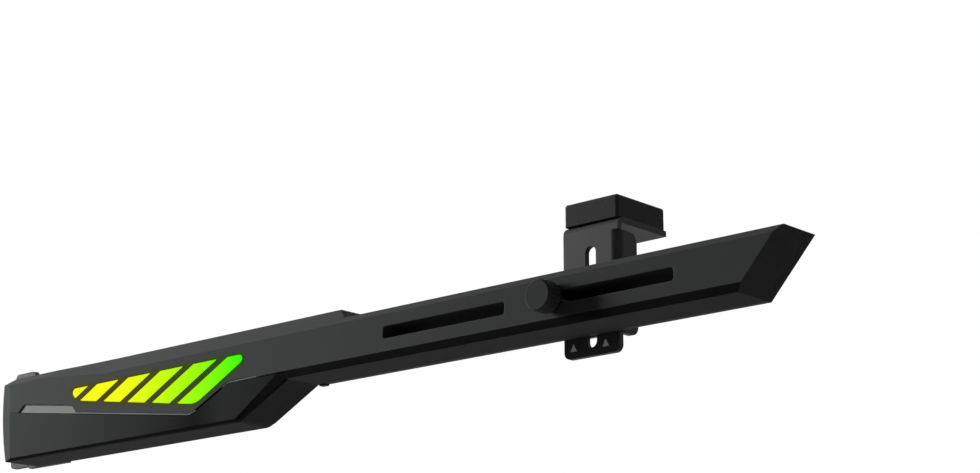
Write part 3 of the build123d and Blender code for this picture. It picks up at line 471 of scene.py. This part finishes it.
def rubber(name, tint):
    """Moulded rubber: dull, with a fine pebble that catches no clear highlight."""
    material, tree, spot = start_material(name)
    pebble = add_node(tree, "ShaderNodeTexVoronoi", {"feature": "SMOOTH_F1"}, {
        "Vector": spot, "Scale": 1 / PEBBLE_SIZE})
    dust = add_node(tree, "ShaderNodeTexNoise", {}, {"Vector": spot, "Scale": 1 / DUST_SIZE, "Detail": 4.0})
    tone = add_node(tree, "ShaderNodeMix", {"data_type": "RGBA"}, {
        MIX_SHARE: dust.outputs["Fac"], MIX_FIRST: shade(tint, 0.85), MIX_SECOND: shade(tint, 1.25)})
    bump = add_node(tree, "ShaderNodeBump", {}, {
        "Strength": 0.5, "Distance": PEBBLE_RELIEF, "Height": pebble.outputs["Distance"]})
    surface = add_node(tree, "ShaderNodeBsdfPrincipled", {}, {
        "Base Color": tone.outputs[MIX_RESULT], "Roughness": 0.85, "IOR": 1.52, "Specular IOR Level": 0.2,
        "Normal": bump.outputs["Normal"]})
    add_node(tree, "ShaderNodeOutputMaterial", {}, {"Surface": surface.outputs["BSDF"]})
    return material


def solder_resist(name, tint):
    """Solder resist on glass laminate: a smooth pale lacquer with tracks showing faintly through it."""
    material, tree, spot = start_material(name)
    upright = add_node(tree, "ShaderNodeMapping", {}, {"Vector": spot, "Rotation": (math.radians(90), 0, 0)})
    tracks = add_node(tree, "ShaderNodeTexBrick", {}, {
        "Vector": upright.outputs["Vector"], "Scale": 1 / TRACK_SPACING, "Mortar Size": 0.03,
        "Color1": rgba(tint), "Color2": shade(tint, 0.97), "Mortar": shade(tint, 0.82)})
    surface = add_node(tree, "ShaderNodeBsdfPrincipled", {}, {
        "Base Color": tracks.outputs["Color"], "Roughness": 0.32, "IOR": 1.55})
    add_node(tree, "ShaderNodeOutputMaterial", {}, {"Surface": surface.outputs["BSDF"]})
    return material


def screen_ink(name, tint):
    """Screen-printed ink: a thin flat film whose cover follows the screen's threads."""
    material, tree, spot = start_material(name)
    threads = add_node(tree, "ShaderNodeTexNoise", {}, {
        "Vector": spot, "Scale": 1 / THREAD_SPACING, "Detail": 2.0})
    tone = add_node(tree, "ShaderNodeMix", {"data_type": "RGBA"}, {
        MIX_SHARE: threads.outputs["Fac"], MIX_FIRST: shade(tint, 0.8), MIX_SECOND: shade(tint, 1.15)})
    surface = add_node(tree, "ShaderNodeBsdfPrincipled", {}, {
        "Base Color": tone.outputs[MIX_RESULT], "Roughness": 0.6, "IOR": 1.48})
    add_node(tree, "ShaderNodeOutputMaterial", {}, {"Surface": surface.outputs["BSDF"]})
    return material


def finish_nodes(material, *names):
    """Gives a finish to solids of the frame."""
    for name in names:
        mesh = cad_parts[name].data
        mesh.materials.clear()
        mesh.materials.append(material)


def arrow_tree():
    """Node tree of two upright triangles side by side, as thick as a film of ink."""
    tree = bpy.data.node_groups.new("Arrow marks", "GeometryNodeTree")
    tree.interface.new_socket("Marks", in_out="OUTPUT", socket_type="NodeSocketGeometry")
    for label in ("Width", "Height", "Thickness", "Spacing"):
        tree.interface.new_socket(label, in_out="INPUT", socket_type="NodeSocketFloat")
    tree.interface.new_socket("First", in_out="INPUT", socket_type="NodeSocketVector")
    tree.interface.new_socket("Ink", in_out="INPUT", socket_type="NodeSocketMaterial")
    sizes = add_node(tree, "NodeGroupInput", {}, {}).outputs
    prism = add_node(tree, "GeometryNodeMeshCylinder", {}, {
        "Vertices": 3, "Radius": 1.0, "Depth": 1.0})
    upward = add_node(tree, "ShaderNodeMath", {"operation": "DIVIDE"}, {
        0: sizes["Height"], 1: TRIANGLE_HEIGHT})
    across = add_node(tree, "ShaderNodeMath", {"operation": "DIVIDE"}, {
        0: sizes["Width"], 1: TRIANGLE_SIDE})
    stretch = add_node(tree, "ShaderNodeCombineXYZ", {}, {
        "X": upward.outputs["Value"], "Y": across.outputs["Value"], "Z": sizes["Thickness"]})
    sized = add_node(tree, "GeometryNodeTransform", {}, {
        "Geometry": prism.outputs["Mesh"], "Scale": stretch.outputs["Vector"]})
    # The prism points along X and lies on its base, and is turned to point up with its base on the support
    stood = add_node(tree, "GeometryNodeTransform", {}, {
        "Geometry": sized.outputs["Geometry"], "Rotation": (math.radians(90), math.radians(-90), 0)})
    step = add_node(tree, "ShaderNodeCombineXYZ", {}, {"X": sizes["Spacing"]})
    line = add_node(tree, "GeometryNodeMeshLine", {}, {
        "Count": 2, "Start Location": sizes["First"], "Offset": step.outputs["Vector"]})
    copies = add_node(tree, "GeometryNodeInstanceOnPoints", {}, {
        "Points": line.outputs["Mesh"], "Instance": stood.outputs["Geometry"]})
    real = add_node(tree, "GeometryNodeRealizeInstances", {}, {"Geometry": copies.outputs["Instances"]})
    inked = add_node(tree, "GeometryNodeSetMaterial", {}, {
        "Geometry": real.outputs["Geometry"], "Material": sizes["Ink"]})
    add_node(tree, "NodeGroupOutput", {}, {"Marks": inked.outputs["Geometry"]})
    return tree


def grown_piece(context, name, tree, values):
    """New object whose plain mesh is what a node tree makes from the given inputs."""
    blank = bpy.data.meshes.new(name)
    piece = bpy.data.objects.new(name, blank)
    context.scene.collection.objects.link(piece)
    modifier = piece.modifiers.new("Nodes", "NODES")
    modifier.node_group = tree
    for item in tree.interface.items_tree:
        if item.in_out == "INPUT":
            modifier[item.identifier] = values[item.name]
    context.view_layer.update()
    made = bpy.data.meshes.new_from_object(piece.evaluated_get(context.evaluated_depsgraph_get()))
    piece.modifiers.clear()
    piece.data = made
    bpy.data.meshes.remove(blank)
    made.name = name
    if not made.polygons:
        raise RuntimeError(name + " came out empty")
    return piece


class BRACKET_OT_arm(bpy.types.Operator):
    """Finish the arm's mouldings"""

    bl_idname = "bracket.arm"
    bl_label = "Finish the arm"

    def execute(self, context):
        tints = context.scene.bracket_finishes
        # A spark-eroded mould leaves a dull black that shows hardly any highlight
        # Its edges get a painted highlight, its steep lower cuts painted shade, and the plastic beside the
        # bars their painted light
        finish_nodes(moulded(
            "ABS, spark-textured black", tints.arm, grain=0.35, relief=0.02, roughness=0.70, gloss=0.004,
            edge=0.30, wear_and_highlight=1.45, painted_cut_shade=0.20, glow=(tints.painted_glow_left, tints.painted_glow_middle, tints.painted_glow_right)),
            "arm_housing")
        # A blasted mould leaves a finer satin; a painted sheen and shade darken it along the panel, and its
        # steep cut gets painted shade
        finish_nodes(moulded(
            "ABS, satin black", tints.panel, grain=0.25, relief=0.01, roughness=0.65, gloss=0.004,
            edge=0.22, wear_and_highlight=1.45, painted_cut_shade=0.20, painted_sheen=PANEL_PAINTED_SHEEN), "lower_panel")
        # The same satin in grey, on which rubbed edges hardly show
        finish_nodes(moulded(
            "ABS, satin grey", tints.strip, grain=0.25, relief=0.01, roughness=0.60, gloss=0.01,
            edge=0.12, wear_and_highlight=1.10), "accent_strip")
        return {"FINISHED"}


class BRACKET_OT_lights(bpy.types.Operator):
    """Finish the lit bars and what lies behind them"""

    bl_idname = "bracket.lights"
    bl_label = "Finish the lights"

    def execute(self, context):
        tints = context.scene.bracket_finishes
        # Opal acrylic scatters the light inside it, so no single source shows
        finish_nodes(lit_opal(
            "PMMA, opal, lit", (tints.bar_left, tints.bar_middle, tints.bar_right)), "light_diffuser")
        # White lacquer with a soft shine
        finish_nodes(solder_resist("Glass laminate, white resist", tints.resist), "led_board")
        # A polished mould leaves a smooth white with a clear shine
        finish_nodes(moulded(
            "PPA, white package", tints.package, grain=0.2, relief=0.004, roughness=0.35, gloss=0.5,
            edge=0.08, wear_and_highlight=1.0), "leds")
        # Fired ceramic is a dull tan
        finish_nodes(moulded(
            "Ceramic, fired chip", tints.chip, grain=0.15, relief=0.004, roughness=0.55, gloss=0.4,
            edge=0.05, wear_and_highlight=1.1), "board_capacitors")
        # Nylon without pigment is milky, with a waxy shine
        finish_nodes(moulded(
            "PA66, natural", tints.socket, grain=0.3, relief=0.006, roughness=0.45, gloss=0.4,
            edge=0.10, wear_and_highlight=1.05), "light_socket")
        # Drawn brass is a warm yellow with fine streaks
        finish_nodes(plated("Brass, drawn", tints.brass, roughness=0.30, streak=0.25), "socket_pins")
        return {"FINISHED"}


class BRACKET_OT_sheet(bpy.types.Operator):
    """Finish the back plate with the screws, the support and its pad"""

    bl_idname = "bracket.sheet"
    bl_label = "Finish the sheet metal"

    def execute(self, context):
        tints = context.scene.bracket_finishes
        # Baked powder is dull and even, a little shinier on the support than on the back plate
        finish_nodes(powder_coat("Steel, grey-black powder coat", tints.plate, gloss=0.02), "back_plate")
        finish_nodes(powder_coat("Steel, black powder coat", tints.coat, gloss=0.08), "support_plate")
        # Rubber swallows the light and looks darker than the coat below it
        finish_nodes(rubber("EPDM, moulded black", tints.rubber), "support_pad")
        # Black zinc is a dark metal with a soft shine, bright zinc a bluish grey one
        finish_nodes(plated("Steel, black zinc", tints.screw, roughness=0.42, streak=0.3), "plate_screws")
        finish_nodes(plated("Steel, bright zinc", tints.zinc, roughness=0.32, streak=0.3), "board_screws")
        return {"FINISHED"}


class BRACKET_OT_clamp(bpy.types.Operator):
    """Finish the bolt, the clamp plate, the guide, the washer and the thumb nut with its sleeve"""

    bl_idname = "bracket.clamp"
    bl_label = "Finish the clamp"

    def execute(self, context):
        tints = context.scene.bracket_finishes
        # Turned steel keeps a little more shine under black zinc than a formed screw
        finish_nodes(plated(
            "Steel, black zinc, turned", tints.screw, roughness=0.38, streak=0.3), "clamp_bolt")
        # Stamped sheet is duller than a screw under the same bright zinc
        finish_nodes(plated(
            "Steel, bright zinc, stamped", tints.zinc, roughness=0.60, streak=0.4), "clamp_plate")
        # Black nylon has a faint waxy shine
        finish_nodes(moulded(
            "PA66, black", tints.nylon, grain=0.3, relief=0.008, roughness=0.6, gloss=0.05,
            edge=0.10, wear_and_highlight=1.4), "slide_guide", "knob_washer")
        # The thumb nut is as dull as the arm, and its rim is lighter, rubbed wear with a painted highlight
        finish_nodes(moulded(
            "ABS, moulded thumb nut", tints.knob, grain=0.3, relief=0.012, roughness=0.6, gloss=0.004,
            edge=0.15, wear_and_highlight=1.5), "thumb_knob")
        # Turned brass shines as the drawn pins do
        finish_nodes(plated("Brass, turned sleeve", tints.brass, roughness=0.30, streak=0.25), "knob_insert")
        return {"FINISHED"}


class BRACKET_OT_marks(bpy.types.Operator):
    """Print the two arrows on the support"""

    bl_idname = "bracket.marks"
    bl_label = "Print the arrows"

    def execute(self, context):
        marks = context.scene.bracket_marks
        first = (
            BOLT_MIDDLE.x - marks.shift - marks.spread,
            SUPPORT_LOW.y - marks.thickness / 2,
            SUPPORT_LOW.z + marks.rise + marks.height * TRIANGLE_MIDDLE)
        # Thin ink on a dark coat looks grey, a little uneven in its cover
        ink = screen_ink("Ink, screen-printed grey", context.scene.bracket_finishes.ink)
        piece = grown_piece(context, "support_arrows", arrow_tree(), {
            "Width": marks.width, "Height": marks.height, "Thickness": marks.thickness,
            "Spacing": 2 * marks.spread, "First": first, "Ink": ink})
        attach(piece, "support")
        return {"FINISHED"}


def seen_strength(tree, unseen, seen):
    """One strength for rays of light on dull surfaces, another for the eye, reflections and clear things."""
    path = add_node(tree, "ShaderNodeLightPath", {}, {})
    direct = add_node(tree, "ShaderNodeMath", {"operation": "MAXIMUM"}, {
        0: path.outputs["Is Camera Ray"], 1: path.outputs["Is Glossy Ray"]})
    any_seen = add_node(tree, "ShaderNodeMath", {"operation": "MAXIMUM"}, {
        0: direct.outputs["Value"], 1: path.outputs["Is Transmission Ray"]})
    strength = add_node(tree, "ShaderNodeMapRange", {}, {
        "Value": any_seen.outputs["Value"], "To Min": unseen, "To Max": seen})
    return strength.outputs["Result"]


def pale_floor(context, level, side, tint, glow):
    """Plain floor below the bracket: pale to the eye, shaded by the bracket, and clear from underneath."""
    material, tree, spot = start_material("Paper, matt white")
    cloud = add_node(tree, "ShaderNodeTexNoise", {}, {
        "Vector": spot, "Scale": 1 / FLOOR_CLOUD, "Detail": 2.0})
    tone = add_node(tree, "ShaderNodeMix", {"data_type": "RGBA"}, {
        MIX_SHARE: cloud.outputs["Fac"], MIX_FIRST: shade(tint, 0.98), MIX_SECOND: shade(tint, 1.02)})
    lit = add_node(tree, "ShaderNodeBsdfPrincipled", {}, {
        "Base Color": tone.outputs[MIX_RESULT], "Roughness": 0.9, "Specular IOR Level": 0.1,
        "Emission Color": tone.outputs[MIX_RESULT], "Emission Strength": seen_strength(tree, 0.0, glow)})
    clear = add_node(tree, "ShaderNodeBsdfTransparent", {}, {})
    underside = add_node(tree, "ShaderNodeNewGeometry", {}, {}).outputs["Backfacing"]
    surface = add_node(tree, "ShaderNodeMixShader", {}, {
        0: underside, 1: lit.outputs["BSDF"], 2: clear.outputs["BSDF"]})
    add_node(tree, "ShaderNodeOutputMaterial", {}, {"Surface": surface.outputs["Shader"]})
    half = side / 2
    corners = [(x, y, level) for x, y in ((-half, -half), (half, -half), (half, half), (-half, half))]
    mesh = bpy.data.meshes.new("floor")
    mesh.from_pydata(corners, [], [(0, 1, 2, 3)])
    mesh.materials.append(material)
    floor = bpy.data.objects.new("floor", mesh)
    context.scene.collection.objects.link(floor)


def white_surroundings(context, ambient):
    """White to the eye and in reflections, dim as a light on dull surfaces."""
    world = bpy.data.worlds.new("Studio")
    world.use_nodes = True
    tree = world.node_tree
    tree.nodes.clear()
    glow = add_node(tree, "ShaderNodeBackground", {}, {
        "Color": rgba((1.0, 1.0, 1.0)), "Strength": seen_strength(tree, ambient, 1.0)})
    add_node(tree, "ShaderNodeOutputWorld", {}, {"Surface": glow.outputs["Background"]})
    context.scene.world = world


def aim_lamp(context, name, spot, aim, watts, side, beam):
    """Square area lamp that faces a point."""
    light = bpy.data.lights.new(name, "AREA")
    light.energy = watts
    light.size = side
    light.spread = beam
    lamp = bpy.data.objects.new(name, light)
    lamp.location = spot
    lamp.rotation_euler = (Vector(aim) - Vector(spot)).to_track_quat("-Z", "Y").to_euler()
    lamp.visible_camera = False
    context.scene.collection.objects.link(lamp)


def set_camera(context, eye, heading, pitch, lens, sensor):
    """Camera that looks up at the front from beyond the tip."""
    data = bpy.data.cameras.new("view")
    data.lens = lens
    data.sensor_width = sensor
    data.sensor_fit = "HORIZONTAL"
    data.clip_start = CLIP_START
    camera = bpy.data.objects.new("view", data)
    camera.location = eye
    ahead = Vector((
        -math.sin(heading) * math.cos(pitch),
        math.cos(heading) * math.cos(pitch),
        math.sin(pitch)))
    camera.rotation_euler = ahead.to_track_quat("-Z", "Y").to_euler()
    context.scene.collection.objects.link(camera)
    context.scene.camera = camera


class BRACKET_OT_stage(bpy.types.Operator):
    """Set the floor, the surroundings, the lamps and the camera"""

    bl_idname = "bracket.stage"
    bl_label = "Set the stage"

    def execute(self, context):
        stage = context.scene.bracket_stage
        context.scene.view_settings.view_transform = "Standard"
        pale_floor(context, stage.floor_level, stage.floor_size, stage.floor, stage.floor_glow)
        white_surroundings(context, stage.ambient)
        for lamp in LAMPS:
            aim_lamp(context, lamp, *(getattr(stage, f"{lamp}_{part}") for part in LAMP_PARTS))
        set_camera(context, stage.eye, stage.heading, stage.pitch, stage.lens, stage.sensor)
        return {"FINISHED"}


class BRACKET_PT_sidebar(bpy.types.Panel):
    """Lists the steps and their settings"""

    bl_idname = "BRACKET_PT_sidebar"
    bl_label = "Bracket"
    bl_space_type = "VIEW_3D"
    bl_region_type = "UI"
    bl_category = "Bracket"

    def draw(self, context):
        for step in STEPS:
            self.layout.operator(step.bl_idname)
        for name, group in GROUPS.items():
            box = self.layout.box()
            for key in group.__annotations__:
                box.prop(getattr(context.scene, name), key)


GROUPS = {
    "bracket_finishes": BracketFinishes,
    "bracket_marks": BracketMarks,
    "bracket_stage": BracketStage,
}
STEPS = (
    BRACKET_OT_arm,
    BRACKET_OT_lights,
    BRACKET_OT_sheet,
    BRACKET_OT_clamp,
    BRACKET_OT_marks,
    BRACKET_OT_stage,
)


def register():
    """Adds the settings, the steps and the panel to Blender."""
    for name, group in GROUPS.items():
        bpy.utils.register_class(group)
        setattr(bpy.types.Scene, name, PointerProperty(type=group))
    for step in STEPS:
        bpy.utils.register_class(step)
    bpy.utils.register_class(BRACKET_PT_sidebar)


def unregister():
    """Takes the panel, the steps and the settings out again."""
    bpy.utils.unregister_class(BRACKET_PT_sidebar)
    for step in reversed(STEPS):
        bpy.utils.unregister_class(step)
    for name, group in reversed(GROUPS.items()):
        delattr(bpy.types.Scene, name)
        bpy.utils.unregister_class(group)


def main():
    register()
    bpy.ops.bracket.arm()
    bpy.ops.bracket.lights()
    bpy.ops.bracket.sheet()
    bpy.ops.bracket.clamp()
    bpy.ops.bracket.marks()
    bpy.ops.bracket.stage()


if __name__ == "__main__":
    main()
